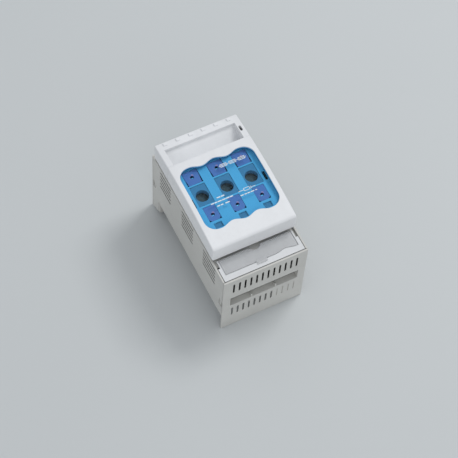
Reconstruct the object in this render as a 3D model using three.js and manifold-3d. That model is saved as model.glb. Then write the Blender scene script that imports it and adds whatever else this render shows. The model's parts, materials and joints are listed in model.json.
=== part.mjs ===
// Three-pole fuse switch-disconnector for blade-type fuse-links, size 000, on a 60 mm busbar system.
// Millimetres. X is the width, Y the length (cables leave at -Y, the grip is at +Y), Z points to the front.
// The origin is at the centre of the footprint, on the plane that the two end feet stand on.
import * as THREE from 'three';
import { mergeVertices } from 'three/addons/utils/BufferGeometryUtils.js';
import Module from 'manifold-3d';

const wasm = await Module();
wasm.setup();

// ---- driving dimensions -------------------------------------------------
const WIDTH = 89;                 // over the side walls
const LENGTH = 158;               // over the two end shrouds
const POLES = [-26, 0, 26];       // pole centres along X
const GAP = 0.3;                  // clearance between neighbouring pieces
const CRISP = 8;                  // sides of a small round

const HALF = WIDTH / 2;
const NEAR = -LENGTH / 2;         // cable end
const FAR = LENGTH / 2;           // grip end
const END_WALL = 2.0;             // thickness of the end shrouds
const SIDE_WALL = 1.7;
const INNER = HALF - SIDE_WALL;   // inner face of the side walls
const WALL_NEAR_TOP = 91.5;       // side-wall top beside the terminal cover
const WALL_TOP = 92.6;            // side-wall top under the lid
const SKIRT = 25;                 // lower edge of the side walls
const FLOOR_LOW = 27;
const FLOOR_TOP = 29.5;
const FOOT_FRONT = 60.7;          // near edge of the far feet

const LID_NEAR = -52.8;
const LID_FAR = 75.3;
const LID_HALF = 44;
const LID_LOW = 94.3;
const LID_EDGE_TOP = 113.7;       // front of the lid at its two ends
const LID_CROWN = 118.6;          // front of the lid at mid length
const LID_WALL = 2.2;
const GRIP_START = 45.2;          // seam between the lid shell and the grip
const RECESS_FAR = 65.6;
const RECESS_HALF = 37.6;
const HINGE_Y = -47;
const HINGE_Z = 99.4;

const FUSE_Y = 6.3;               // middle of the fuse-links
const LUG_PITCH = 45;             // spacing of the gripping lugs
const FUSE_LENGTH = 78.5;         // over the blade tips
const BLADE = 6;                  // blade thickness
const BLADE_LOW = 75.5;
const BLADE_TOP = 90.5;
const BODY_LOW = 66;
const BODY_TOP = 105;
const BODY_HALF = 10.25;

const BUSBARS = [52.2, -7.8, -67.8]; // Y of the three busbars, 60 mm apart
const BUSBAR_WIDTH = 12;
const BUSBAR_FRONT = 24.5;
const CLAMP_Y = -62.5;            // terminal screws
const VENTS = 12;
const VENT_PITCH = 6.1;
const BAND_LOW = 42.3;            // cable band of the near shroud
const BAND_TOP = 57;
const BAND_HALF = 36.4;

// ---- solids -------------------------------------------------------------
function solid(geometry) {
  let plain = geometry;
  plain.deleteAttribute('normal');
  plain.deleteAttribute('uv');
  plain = mergeVertices(plain, 1e-4);
  return new wasm.Manifold(new wasm.Mesh({
    numProp: 3,
    vertProperties: Float32Array.from(plain.attributes.position.array),
    triVerts: Uint32Array.from(plain.index.array),
  }));
}

// A block between two opposite corners.
function block(x0, x1, y0, y1, z0, z1) {
  const box = new THREE.BoxGeometry(x1 - x0, y1 - y0, z1 - z0);
  box.translate((x0 + x1) / 2, (y0 + y1) / 2, (z0 + z1) / 2);
  return solid(box);
}

// The same block on both sides of X = 0.
const pair = (x0, x1, ...rest) => block(x0, x1, ...rest).add(block(-x1, -x0, ...rest));

function extrude(shape, depth) {
  return new THREE.ExtrudeGeometry(shape, { depth, bevelEnabled: false, curveSegments: 6 });
}

const outline = (points) => new THREE.Shape(points.map(([u, v]) => new THREE.Vector2(u, v)));

// Outline in Y and Z, extruded along X.
function alongX(shape, x0, x1) {
  const geometry = extrude(shape, x1 - x0);
  geometry.applyMatrix4(new THREE.Matrix4().makeBasis(
    new THREE.Vector3(0, 1, 0), new THREE.Vector3(0, 0, 1), new THREE.Vector3(1, 0, 0)));
  geometry.translate(x0, 0, 0);
  return solid(geometry);
}

// Outline in X and Z, extruded along Y.
function alongY(shape, y0, y1) {
  const geometry = extrude(shape, y1 - y0);
  geometry.rotateX(Math.PI / 2);
  geometry.translate(0, y1, 0);
  return solid(geometry);
}

// Outline in X and Y, extruded along Z.
function alongZ(shape, z0, z1) {
  const geometry = extrude(shape, z1 - z0);
  geometry.translate(0, 0, z0);
  return solid(geometry);
}

function rod(axis, radius, from, to, at, sides = CRISP) {
  const cylinder = new THREE.CylinderGeometry(radius, radius, to - from, sides);
  const middle = (from + to) / 2;
  if (axis === 'x') {
    cylinder.rotateZ(Math.PI / 2);
    cylinder.translate(middle, at[0], at[1]);
  } else {
    cylinder.rotateX(Math.PI / 2);
    cylinder.translate(at[0], at[1], middle);
  }
  return solid(cylinder);
}

const join = (parts) => parts.reduce((whole, part) => whole.add(part));
const cut = (whole, tools) => tools.reduce((left, tool) => left.subtract(tool), whole);

// ---- nodes --------------------------------------------------------------
const group = new THREE.Group();

const plastic = (color, roughness = 0.45) =>
  new THREE.MeshStandardMaterial({ color, roughness, metalness: 0 });
const metal = (color, roughness = 0.3) =>
  new THREE.MeshStandardMaterial({ color, roughness, metalness: 1 });

function place(name, body, material) {
  const { vertProperties, triVerts } = body.getMesh();
  const geometry = new THREE.BufferGeometry();
  geometry.setAttribute('position', new THREE.BufferAttribute(vertProperties, 3));
  geometry.setIndex(new THREE.BufferAttribute(triVerts, 1));
  const mesh = new THREE.Mesh(geometry, material);
  mesh.name = name;
  group.add(mesh);
}

// ---- base ---------------------------------------------------------------
const LOUVRE_GROUPS = [[-60.5, -34], [-12.5, 12.5], [37, 60.5]];
const LOUVRE_ROWS = 5;
const LOUVRE_PITCH = 6.2;
const LOUVRE_LOW = 61.5;
const LOUVRE_GAP = 2;
const SNAP_LOW = 41.5;
const SNAP_TOP = 51.5;
const SNAP_DEPTH = 6;

function baseFrame() {
  const wallNear = NEAR + END_WALL + GAP;
  const wallFar = FAR - END_WALL - GAP;
  const side = outline([
    [wallNear, SKIRT], [FOOT_FRONT, SKIRT], [FOOT_FRONT, 9], [wallFar, 0],
    [wallFar, WALL_NEAR_TOP], [70, WALL_NEAR_TOP], [70, WALL_TOP], [-41, WALL_TOP],
    [-41, WALL_NEAR_TOP], [wallNear, WALL_NEAR_TOP],
  ]);
  let frame = alongX(side, INNER, HALF).add(alongX(side, -HALF, -INNER));
  frame = frame.add(block(-INNER - 0.5, INNER + 0.5, wallNear + 3, wallFar - 3, FLOOR_LOW, FLOOR_TOP));
  frame = frame.add(pair(40.6, INNER + 0.5, FOOT_FRONT, FOOT_FRONT + 1.7, 9, FLOOR_TOP));
  const tools = [];
  for (const [y0, y1] of LOUVRE_GROUPS) {
    for (let row = 0; row < LOUVRE_ROWS; row += 1) {
      const z = LOUVRE_LOW + row * LOUVRE_PITCH;
      tools.push(block(-HALF - 1, HALF + 1, y0, y1, z, z + LOUVRE_GAP));
    }
  }
  // Notches that the hooks of the end shrouds show in.
  tools.push(block(-HALF - 1, HALF + 1, wallNear - 1, wallNear + SNAP_DEPTH, SNAP_LOW, SNAP_TOP));
  tools.push(block(-HALF - 1, HALF + 1, wallFar - SNAP_DEPTH, wallFar + 1, SNAP_LOW, SNAP_TOP));
  // Slots for the busbar contacts, and windows between the busbars.
  POLES.forEach((x, pole) => {
    const y = BUSBARS[pole];
    tools.push(block(x - 3.5, x + 3.5, y - 3.5, y + 3.5, FLOOR_LOW - 1, FLOOR_TOP + 1));
  });
  // A shallow groove down the outer face of each far foot.
  tools.push(pair(HALF - 0.8, HALF + 1, 62.6, 64, 5, SKIRT + 0.5));
  return cut(frame, tools);
}

// Partitions between the poles, with the beams that carry the jaws.
function contactCarrier() {
  const near = NEAR + 8.5;
  const wall = block(-14, -12, near, 60, FLOOR_TOP + GAP, 86)
    .add(block(12, 14, near, 60, FLOOR_TOP + GAP, 86));
  const beamHalf = INNER - GAP;
  const lower = block(-beamHalf, beamHalf, -33, -18, 36, 53.8);
  const upper = block(-beamHalf, beamHalf, 35.5, 46.8, 36, 53.8);
  const ends = block(-beamHalf, beamHalf, -54.5, -52.5, 66, 86);
  // Ledges under the terminal cover: one behind its far edge, one in each corner notch.
  const ledge = block(-beamHalf, beamHalf, -56.6, -50.6, 85, 88.4);
  const corners = pair(38, beamHalf, -58.6, -56, 85, 88.4);
  return join([wall, lower, upper, ends, ledge, corners]);
}

// An arm that carries a lid hinge pin: a post inside the lid, hooked forward to the hinge axis.
function hingeArm(side) {
  const arm = outline([
    [-41, 76], [-36.5, 76], [-36.5, 101], [-38, 102.4], [HINGE_Y, 102.4],
    [HINGE_Y - 2.1, 101.5], [HINGE_Y - 3, HINGE_Z], [HINGE_Y - 2.1, 97.3], [HINGE_Y, 96.4], [-41, 96.4],
  ]);
  const inner = side * 36.6;
  const outer = side * 39.4;
  const plate = alongX(arm, Math.min(inner, outer), Math.max(inner, outer));
  const base = block(Math.min(side * 36.6, side * (INNER - GAP)), Math.max(side * 36.6, side * (INNER - GAP)),
    -41, -36.5, 70, 78);
  return cut(plate.add(base), [rod('x', 1.85, -45, 45, [HINGE_Y, HINGE_Z])]);
}

const hingePin = (side) =>
  rod('x', 1.5, Math.min(side * 36.7, side * 41.6), Math.max(side * 36.7, side * 41.6), [HINGE_Y, HINGE_Z]);

// ---- end shrouds --------------------------------------------------------
const ventX = (index) => (index - (VENTS - 1) / 2) * VENT_PITCH;

function ventSlots(y0, y1, z0, z1, count) {
  const slots = [];
  for (let index = 0; index < count; index += 1) {
    slots.push(block(ventX(index) - 1, ventX(index) + 1, y0, y1, z0, z1));
  }
  return slots;
}

// Plate with two hooked arms; end is -1 at the cable end and +1 at the grip end.
function shroudPlate(end) {
  const outer = end * FAR;
  const inner = end * (FAR - END_WALL);
  const between = (a, b) => [Math.min(a, b), Math.max(a, b)];
  const plate = block(-HALF, HALF, ...between(outer, inner), 0, WALL_NEAR_TOP);
  const armReach = end * (FAR - END_WALL - 8);
  const armSpan = between(inner + end * 0.5, armReach);
  const arms = pair(INNER - 2, INNER - GAP, ...armSpan, SNAP_LOW + 1, SNAP_TOP - 1);
  const hookSpan = between(inner - end * 2.2, inner - end * 5.6);
  const hook = pair(INNER - 1, HALF - 0.5, ...hookSpan, SNAP_LOW + 1, SNAP_TOP - 1);
  return join([plate, arms, hook]);
}

function cableShroud() {
  const pocketBack = NEAR + 6.2;
  const pocketHalf = BAND_HALF + 1.4;
  const pocket = block(-pocketHalf, pocketHalf, NEAR + 1, pocketBack, BAND_LOW - 1.2, BAND_TOP + 1.2);
  let shroud = shroudPlate(-1).add(pocket);
  shroud = cut(shroud, [
    block(-BAND_HALF, BAND_HALF, NEAR - 1, pocketBack + 1, BAND_LOW, BAND_TOP),
    ...ventSlots(NEAR - 1, NEAR + END_WALL + 0.5, 67.2, 83.7, VENTS),
    ...ventSlots(NEAR - 1, NEAR + END_WALL + 0.5, 21.4, 36, 8),
  ]);
  // The last four lower vents are knock-outs: thin grooves in the outer face.
  for (let index = 8; index < VENTS; index += 1) {
    const x = ventX(index);
    shroud = shroud.subtract(block(x - 0.5, x + 0.5, NEAR - 1, NEAR + 0.6, 21.4, 36));
  }
  const gusset = outline([
    [NEAR + 0.3, BAND_LOW - 0.5], [pocketBack, BAND_LOW - 0.5], [pocketBack, BAND_LOW + 1],
    [NEAR + 0.3, BAND_LOW + 5.5],
  ]);
  for (const x of [-13, 13]) shroud = shroud.add(alongX(gusset, x - 0.7, x + 0.7));
  return shroud;
}

function gripShroud() {
  const shelf = block(-INNER + GAP, INNER - GAP, FAR - 8, FAR - 1, 89.4, WALL_NEAR_TOP);
  return cut(shroudPlate(1).add(shelf), ventSlots(FAR - END_WALL - 0.5, FAR + 1, 62, 80, VENTS));
}

// Blank membrane that a fitter pierces for the cables.
const cableMembrane = () =>
  block(-BAND_HALF - 1, BAND_HALF + 1, NEAR + 6.5, NEAR + 8, BAND_LOW - 1, BAND_TOP + 1);

// ---- terminal cover -----------------------------------------------------
const COVER_NEAR = NEAR + END_WALL + 0.7;
const COVER_FAR = -53.4;
const COVER_HALF = INNER - 0.6;
const COVER_LOW = 88.9;
const LABEL_HALF = 38;
const LABEL_NEAR = -69.6;
const LABEL_FAR = -54.2;

// Half-moon at the cover's far edge, where a finger or a blade lifts it.
const PRY_RADIUS = 6.3;
const pryNotch = (radius) => rod('z', radius, COVER_LOW - 1, WALL_NEAR_TOP + 1.5, [0, COVER_FAR + 2.6], 20);

function terminalCover() {
  const cover = block(-COVER_HALF, COVER_HALF, COVER_NEAR, COVER_FAR, COVER_LOW, WALL_NEAR_TOP);
  const legs = pair(35, 40, COVER_NEAR + 0.5, COVER_NEAR + 2.5, 80, COVER_LOW + 0.5);
  const notches = pair(40, HALF, -61.6, COVER_FAR + 1, COVER_LOW - 1, WALL_NEAR_TOP + 1);
  const pocket = block(-LABEL_HALF - GAP, LABEL_HALF + GAP, LABEL_NEAR - GAP, LABEL_FAR + GAP,
    89.6, WALL_NEAR_TOP + 1);
  return cut(cover.add(legs), [notches, pocket, pryNotch(PRY_RADIUS)]);
}

const labelCard = () => cut(
  block(-LABEL_HALF + 0.5, LABEL_HALF - 0.5, LABEL_NEAR + 0.4, LABEL_FAR - 0.4, 89.8, 90.2),
  [pryNotch(PRY_RADIUS + 0.8)],
);

// Clear flap over the label, with a lifting tab at its near edge.
function labelWindow() {
  const flap = block(-LABEL_HALF, LABEL_HALF, LABEL_NEAR, LABEL_FAR, 90.5, 91.4);
  const tab = block(-6.2, 4.5, -73, LABEL_NEAR + 1.5, 91.8, 92.7);
  const neck = block(-6.2, 4.5, LABEL_NEAR + 0.2, LABEL_NEAR + 1.5, 91, 92.7);
  return cut(join([flap, tab, neck]), [pryNotch(PRY_RADIUS + 0.3)]);
}

// ---- lid ----------------------------------------------------------------
const CROWN_MIDDLE = (LID_NEAR + LID_FAR) / 2;
const CROWN_RISE = LID_CROWN - LID_EDGE_TOP;
const CROWN_RADIUS = ((LID_FAR - LID_NEAR) ** 2 / 4 + CROWN_RISE ** 2) / (2 * CROWN_RISE);
const crownAt = (y) =>
  LID_CROWN - CROWN_RADIUS + Math.sqrt(CROWN_RADIUS ** 2 - (y - CROWN_MIDDLE) ** 2);

// Side outline of the lid's front between two lengths, lowered by drop, down to a flat z.
function crowned(y0, y1, drop, low, steps = 12, round = 0) {
  const points = [[y0, low], [y1, low]];
  for (let step = steps; step >= 0; step -= 1) {
    const y = y0 + ((y1 - y0) * step) / steps;
    points.push([y, crownAt(y) - drop]);
  }
  if (round > 0) {
    points.pop();
    const edge = crownAt(y0) - drop;
    points.push([y0 + round, crownAt(y0 + round) - drop]);
    points.push([y0 + 0.3 * round, edge - 0.3 * round], [y0, edge - round]);
  }
  return outline(points);
}

// Lobed outline of the inspection window, grown by an allowance.
function lobedOutline(grow) {
  const half = 38.8 + grow;
  const far = 35;
  const near = -33.1;
  const corner = 11.5;
  const lobe = 1.6;
  const points = [];
  const wave = (x) => lobe * Math.cos((2 * Math.PI * x) / 26);
  const inside = half - corner;
  for (let step = 0; step <= 16; step += 1) {
    const x = inside - (2 * inside * step) / 16;
    points.push([x, far + wave(x) + grow]);
  }
  const arc = (cx, cy, from) => {
    for (let step = 1; step < 5; step += 1) {
      const angle = from + (Math.PI / 2) * (step / 5);
      points.push([cx + corner * Math.cos(angle), cy + corner * Math.sin(angle)]);
    }
  };
  const end = wave(inside) + grow;
  arc(-inside, far + end - corner, Math.PI / 2);
  points.push([-half, far + end - corner], [-half, near - end + corner]);
  arc(-inside, near - end + corner, Math.PI);
  for (let step = 0; step <= 16; step += 1) {
    const x = -inside + (2 * inside * step) / 16;
    points.push([x, near - wave(x) - grow]);
  }
  arc(inside, near - end + corner, 1.5 * Math.PI);
  points.push([half, near - end + corner], [half, far + end - corner]);
  arc(inside, far + end - corner, 0);
  return outline(points);
}

function lidShell() {
  const far = GRIP_START - GAP;
  const outer = alongX(crowned(LID_NEAR, far, 0, LID_LOW, 12, 3), -LID_HALF, LID_HALF);
  const inner = alongX(crowned(LID_NEAR + LID_WALL, far + 5, LID_WALL, LID_LOW - 5, 12), -41.8, 41.8);
  const lugs = pair(39.8, 42.2, LID_NEAR + 1.5, -43.5, LID_LOW, 104);
  const cross = block(-42, 42, far - 2, far, 98.5, 116);
  return cut(cut(outer, [inner]).add(lugs).add(cross), [
    alongZ(lobedOutline(GAP), 105, 125),
    rod('x', 1.85, -41.9, 41.9, [HINGE_Y, HINGE_Z]),
  ]);
}

// Tinted window: the lobed pane a little below the lid's front, on a thin flange behind its skin.
const PANE_DROP = 0.9;

function inspectionWindow() {
  const pane = alongX(crowned(-45, 44, PANE_DROP, 100, 14), -41, 41)
    .intersect(alongZ(lobedOutline(0), 100, 125));
  const flange = alongX(crowned(-41.5, 42, LID_WALL + GAP, 100, 14), -41.3, 41.3);
  const under = alongX(crowned(-46, 45, LID_WALL + GAP + 1.2, 90, 14), -45, 45);
  const tests = [];
  for (const x of POLES) {
    for (const end of [-1, 1]) {
      tests.push(rod('z', 1.7, 100, 125, [x, FUSE_Y + (end * LUG_PITCH) / 2], 8));
    }
  }
  return cut(pane.add(flange), [under, ...tests]);
}

const NUBS = 6;
const NUB_PITCH = 13.6;
const LATCH_X = 39.9;

// Grip: cheeks, a finger scoop that rises to the bar at the far edge, and the bar's row of nubs.
function gripBow() {
  const body = alongX(crowned(GRIP_START, LID_FAR, 0, LID_LOW, 5), -LID_HALF, LID_HALF);
  const hollow = alongX(outline([
    [GRIP_START - 5, LID_LOW - 5], [LID_FAR - LID_WALL, LID_LOW - 5], [LID_FAR - LID_WALL, 110],
    [RECESS_FAR + 2, 111], [RECESS_FAR + 2, 108.2], [RECESS_FAR, 107.6], [GRIP_START + 4, 98.8],
    [GRIP_START + 1, 98.3], [GRIP_START - 5, 98.3],
  ]), -41.8, 41.8);
  const scoop = alongX(outline([
    [GRIP_START - 1, 130], [GRIP_START - 1, 101], [GRIP_START + 3, 101.4], [RECESS_FAR - 0.8, 109.8],
    [RECESS_FAR, 110.4], [RECESS_FAR, 130],
  ]), -RECESS_HALF, RECESS_HALF);
  const nubs = [];
  for (let index = 0; index < NUBS; index += 1) {
    const x = (index - (NUBS - 1) / 2) * NUB_PITCH;
    nubs.push(block(x - 1.9, x + 1.9, 70.2, 73.5, 112.5, 115.4));
  }
  const slot = block(LATCH_X - 1.3, LATCH_X + 1.3, 53.6, 60.4, 105.7, 125);
  const cheek = block(LATCH_X - 2, 42, 52, 62, 104, 115);
  return cut(cut(body, [hollow, scoop]).add(cheek.intersect(body)), [slot]).add(join(nubs));
}

const lockSlider = () => block(LATCH_X - 1, LATCH_X + 1, 53.9, 57.9, 106, 115.4);

// Inner plate behind the window, with openings for the clips, the viewing frames and the fuse lugs.
const CARRIER_LOW = 110.4;
const CARRIER_TOP = 112;
const CLIP_FAR = { y0: 20.7, y1: 36.2, half: 7.8 };
const CLIP_NEAR = { y0: -22.9, y1: -6.5, half: 6 };
const FRAME = { y0: -4.2, y1: 18.6, half: 7.8 };

function fuseCarrier() {
  const tools = [];
  for (const x of POLES) {
    for (const { y0, y1, half } of [CLIP_FAR, CLIP_NEAR, FRAME]) {
      tools.push(block(x - half - GAP, x + half + GAP, y0 - GAP, y1 + GAP, 100, 120));
    }
  }
  const plate = block(-41.4, 41.4, -36.4, 41.5, CARRIER_LOW, CARRIER_TOP);
  const catches = pair(36.5, 39.6, -3.8, 6.4, CARRIER_LOW - 1, CARRIER_TOP + 1);
  const nearHoles = POLES.map((x) => block(x - 4.2, x + 4.2, -32, -25.8, 100, 120));
  return cut(plate, [catches, ...nearHoles, ...tools]);
}

// Frame around the round opening through which a pole's fuse-link is seen.
function viewingFrame(x) {
  const plate = block(x - FRAME.half, x + FRAME.half, FRAME.y0, FRAME.y1, CARRIER_LOW, CARRIER_TOP - 0.5);
  const tube = rod('z', 7.4, 105.6, CARRIER_TOP - 1, [x, FUSE_Y], 16);
  return cut(plate.add(tube), [rod('z', 6.5, 100, 120, [x, FUSE_Y], 16)]);
}

// Clip that holds a gripping lug, with a test hole over it.
function lugClip(x, end) {
  const lugY = FUSE_Y + (end * LUG_PITCH) / 2;
  const { y0, y1, half } = end > 0 ? CLIP_FAR : CLIP_NEAR;
  const taper = 1;
  const bevel = 2.2;
  const corners = end > 0
    ? [[x - half + taper, y0], [x + half - taper, y0], [x + half, y1], [x - half, y1]]
    : [[x - half + bevel, y0], [x + half - bevel, y0], [x + half, y0 + bevel], [x + half, y1],
      [x - half, y1], [x - half, y0 + bevel]];
  const plate = alongZ(outline(corners), CARRIER_LOW + 0.2, CARRIER_TOP - 0.3);
  const prong = (side) => {
    const across = (a, b) => [Math.min(x + side * a, x + side * b), Math.max(x + side * a, x + side * b)];
    const stem = block(...across(5.7, half - 0.1), lugY - 2, lugY + 2, 106.2, CARRIER_LOW + 0.5);
    const hook = block(...across(4.1, 5.9), lugY - 2, lugY + 2, 106.2, 107.5);
    return stem.add(hook);
  };
  return cut(join([plate, prong(-1), prong(1)]), [rod('z', 2, 100, 120, [x, lugY], 8)]);
}

// ---- fuse-links ---------------------------------------------------------
const PLATE = 1.6;

function fuseBody(x) {
  const end = LUG_PITCH / 2 - PLATE / 2 - GAP;
  const chamfer = 1.2;
  const [left, right] = [x - BODY_HALF, x + BODY_HALF];
  const section = outline([
    [left + chamfer, BODY_LOW], [right - chamfer, BODY_LOW],
    [right, BODY_LOW + chamfer], [right, BODY_TOP - chamfer],
    [right - chamfer, BODY_TOP], [left + chamfer, BODY_TOP],
    [left, BODY_TOP - chamfer], [left, BODY_LOW + chamfer],
  ]);
  return alongY(section, FUSE_Y - end, FUSE_Y + end);
}

// End plate with its blade and its T-shaped gripping lug.
function fuseEnd(x, end) {
  const plateY = FUSE_Y + (end * LUG_PITCH) / 2;
  const tip = FUSE_Y + (end * FUSE_LENGTH) / 2;
  const y0 = plateY - PLATE / 2;
  const y1 = plateY + PLATE / 2;
  const plate = block(x - BODY_HALF + 0.3, x + BODY_HALF - 0.3, y0, y1, BODY_LOW + 0.4, BODY_TOP);
  const neck = block(x - 3.2, x + 3.2, y0, y1, BODY_TOP - 1, 109);
  const head = block(x - 5.4, x + 5.4, y0, y1, 107.9, 109.9);
  const blade = block(x - BLADE / 2, x + BLADE / 2, Math.min(plateY, tip), Math.max(plateY, tip),
    BLADE_LOW, BLADE_TOP);
  return join([plate, neck, head, blade]);
}

// ---- current path -------------------------------------------------------
const JAW_LOW = 57.3;
const TAIL_TOP = 60;
const LEAF = 1.9;

// Two spring leaves on a base, open to the front.
function jaw(x, y0, y1) {
  const inner = BLADE / 2 + GAP;
  const outer = inner + LEAF;
  const half = [
    [outer, JAW_LOW], [outer, 84], [outer + 1.2, 88], [outer - 0.2, 88.5], [inner, 84.5], [inner, TAIL_TOP],
  ];
  const mirrored = half.map(([u, v]) => [-u, v]).reverse();
  return alongY(outline([...half, ...mirrored].map(([u, v]) => [x + u, v])), y0, y1);
}

const LOWER_JAW = [-31.5, -19.5];
const UPPER_JAW = [36.3, 44.5];

// Jaw on the cable side, with the strip that ends in the pad the conductor is pressed against.
function lowerJaw(x) {
  const strip = block(x - 5.2, x + 5.2, CLAMP_Y, LOWER_JAW[1], JAW_LOW + 0.5, TAIL_TOP);
  const pad = block(x - 5.2, x + 5.2, CLAMP_Y - 5.5, CLAMP_Y + 5.5, JAW_LOW, TAIL_TOP);
  return join([jaw(x, ...LOWER_JAW), strip, pad]);
}

// Jaw on the supply side, with the copper strip that runs under the fuse-link to its busbar.
function upperJaw(x, busbarY) {
  const foot = block(x - 5.2, x + 5.2, UPPER_JAW[0], 49.9, JAW_LOW, TAIL_TOP);
  const riser = block(x - 5.2, x + 5.2, 47.2, 49.9, 31, TAIL_TOP);
  const end = busbarY > 47 ? busbarY + 4 : 49.9;
  const strip = block(x - 5.2, x + 5.2, Math.min(busbarY - 4, 47.2), end, 31, 33.5);
  return join([jaw(x, ...UPPER_JAW), foot, riser, strip]);
}

// Steel spring that presses a jaw's leaves together.
function jawSpring(x, y0, y1) {
  const inner = BLADE / 2 + GAP + LEAF + GAP;
  const outer = inner + 1.2;
  const low = 54.2;
  const loop = outline([
    [x - outer, low], [x + outer, low], [x + outer, 80], [x + inner, 80],
    [x + inner, JAW_LOW - 0.4], [x - inner, JAW_LOW - 0.4], [x - inner, 80], [x - outer, 80],
  ]);
  return alongY(loop, y0, y1);
}

// Copper claw on a busbar, with the stem that meets the pole's strip.
function busbarContact(x, busbarY) {
  const back = busbarY - BUSBAR_WIDTH / 2;
  const plate = block(x - 5, x + 5, back - 2.4, busbarY + 6, BUSBAR_FRONT + 0.3, FLOOR_LOW - GAP);
  const leg = block(x - 5, x + 5, back - 2.4, back - 0.3, 12, FLOOR_LOW - GAP);
  const toe = block(x - 5, x + 5, back - 2.4, back + 1.6, 12, 14.2);
  const stem = block(x - 3, x + 3, busbarY - 3, busbarY + 3, FLOOR_LOW - 1, 31 - GAP);
  return join([plate, leg, toe, stem]);
}

// Terminal cage that lifts the conductor against the tail.
function clampCage(x) {
  const cage = block(x - 9.4, x + 9.4, CLAMP_Y - 4.5, CLAMP_Y + 4.5, 41, 66);
  return cut(cage, [
    block(x - 7, x + 7, CLAMP_Y - 6, CLAMP_Y + 6, 43.5, 62.6),
    rod('z', 4.35, 60, 70, [x, CLAMP_Y], 12),
  ]);
}

function clampScrew(x) {
  const shank = rod('z', 4, TAIL_TOP + GAP, 74, [x, CLAMP_Y], 12);
  const head = rod('z', 6.2, 73.5, 78.5, [x, CLAMP_Y], 12);
  const socket = rod('z', 2.9, 75.2, 80, [x, CLAMP_Y], 6);
  return cut(shank.add(head), [socket]);
}

// Stack of arc-splitting plates on a back plate, behind each upper jaw.
function arcChute(x) {
  const parts = [block(x - 10, x + 10, 57.6, 59, 58, 88)];
  for (let level = 0; level < 5; level += 1) {
    const z = 60 + level * 6;
    parts.push(block(x - 10, x + 10, 51, 58, z, z + 1.2));
  }
  return cut(join(parts), [block(x - 3.6, x + 3.6, 50, 54.5, 58, 90)]);
}

// Latch between the far feet that grips the outer busbar from behind.
function busbarLatch() {
  const bar = block(-35.6, 35.6, 63, 70, 16, FLOOR_LOW - GAP);
  const noses = pair(16, 26, 55.5, 63.5, 11.8, 14).add(pair(16, 26, 59, 63.5, 11.8, 20));
  const key = block(-5, 5, 69, 71.6, 18, 22);
  return join([bar, noses, key]);
}

// ---- assembly -----------------------------------------------------------
const housing = plastic(0xb4b5b3);
const lidWhite = plastic(0xdcdddf, 0.4);
const blueClear = plastic(0x3f9ed6, 0.15);
const coverGrey = plastic(0xd3d5d7, 0.4);
const darkInsert = plastic(0x4b5a66);
const black = plastic(0x1b1c1e);
const copper = metal(0xc98a5b);
const silvered = metal(0xc9ccd0);
const steel = metal(0x9a9fa5);
const ceramic = plastic(0xe6e0d2, 0.6);

place('base_frame', baseFrame(), housing);
place('contact_carrier', contactCarrier(), plastic(0x6e7276, 0.6));
place('hinge_arm_left', hingeArm(-1), housing);
place('hinge_arm_right', hingeArm(1), housing);
place('hinge_pin_left', hingePin(-1), steel);
place('hinge_pin_right', hingePin(1), steel);
place('cable_shroud', cableShroud(), housing);
place('cable_membrane', cableMembrane(), plastic(0x8d8e8a, 0.7));
place('grip_end_shroud', gripShroud(), housing);
place('terminal_cover', terminalCover(), coverGrey);
place('label_card', labelCard(), plastic(0xd9dbdc, 0.8));
place('label_window', labelWindow(), plastic(0xe4e8ea, 0.1));
place('lid_shell', lidShell(), lidWhite);
place('grip_bow', gripBow(), lidWhite);
place('lock_slider', lockSlider(), black);
place('inspection_window', inspectionWindow(), blueClear);
place('fuse_carrier', fuseCarrier(), plastic(0xc9d2d8));
place('busbar_latch', busbarLatch(), plastic(0x6e7276));

POLES.forEach((x, pole) => {
  const n = pole + 1;
  place(`viewing_frame_${n}`, viewingFrame(x), darkInsert);
  place(`lug_clip_upper_${n}`, lugClip(x, 1), darkInsert);
  place(`lug_clip_lower_${n}`, lugClip(x, -1), darkInsert);
  place(`fuse_body_${n}`, fuseBody(x), ceramic);
  place(`fuse_end_upper_${n}`, fuseEnd(x, 1), silvered);
  place(`fuse_end_lower_${n}`, fuseEnd(x, -1), silvered);
  place(`upper_jaw_${n}`, upperJaw(x, BUSBARS[pole]), copper);
  place(`lower_jaw_${n}`, lowerJaw(x), copper);
  place(`upper_jaw_spring_${n}`, jawSpring(x, 38, 42.8), steel);
  place(`lower_jaw_spring_${n}`, jawSpring(x, -28.5, -22.5), steel);
  place(`busbar_contact_${n}`, busbarContact(x, BUSBARS[pole]), copper);
  place(`clamp_cage_${n}`, clampCage(x), steel);
  place(`clamp_screw_${n}`, clampScrew(x), steel);
  place(`arc_chute_${n}`, arcChute(x), steel);
});

export default group;
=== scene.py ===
"""Looks of a three-pole fuse switch-disconnector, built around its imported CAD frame.

Pieces are shaped in millimetres and scaled to metres when they are settled on their body.
"""

import json
import math

import bpy
from mathutils import Matrix, Vector


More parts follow.
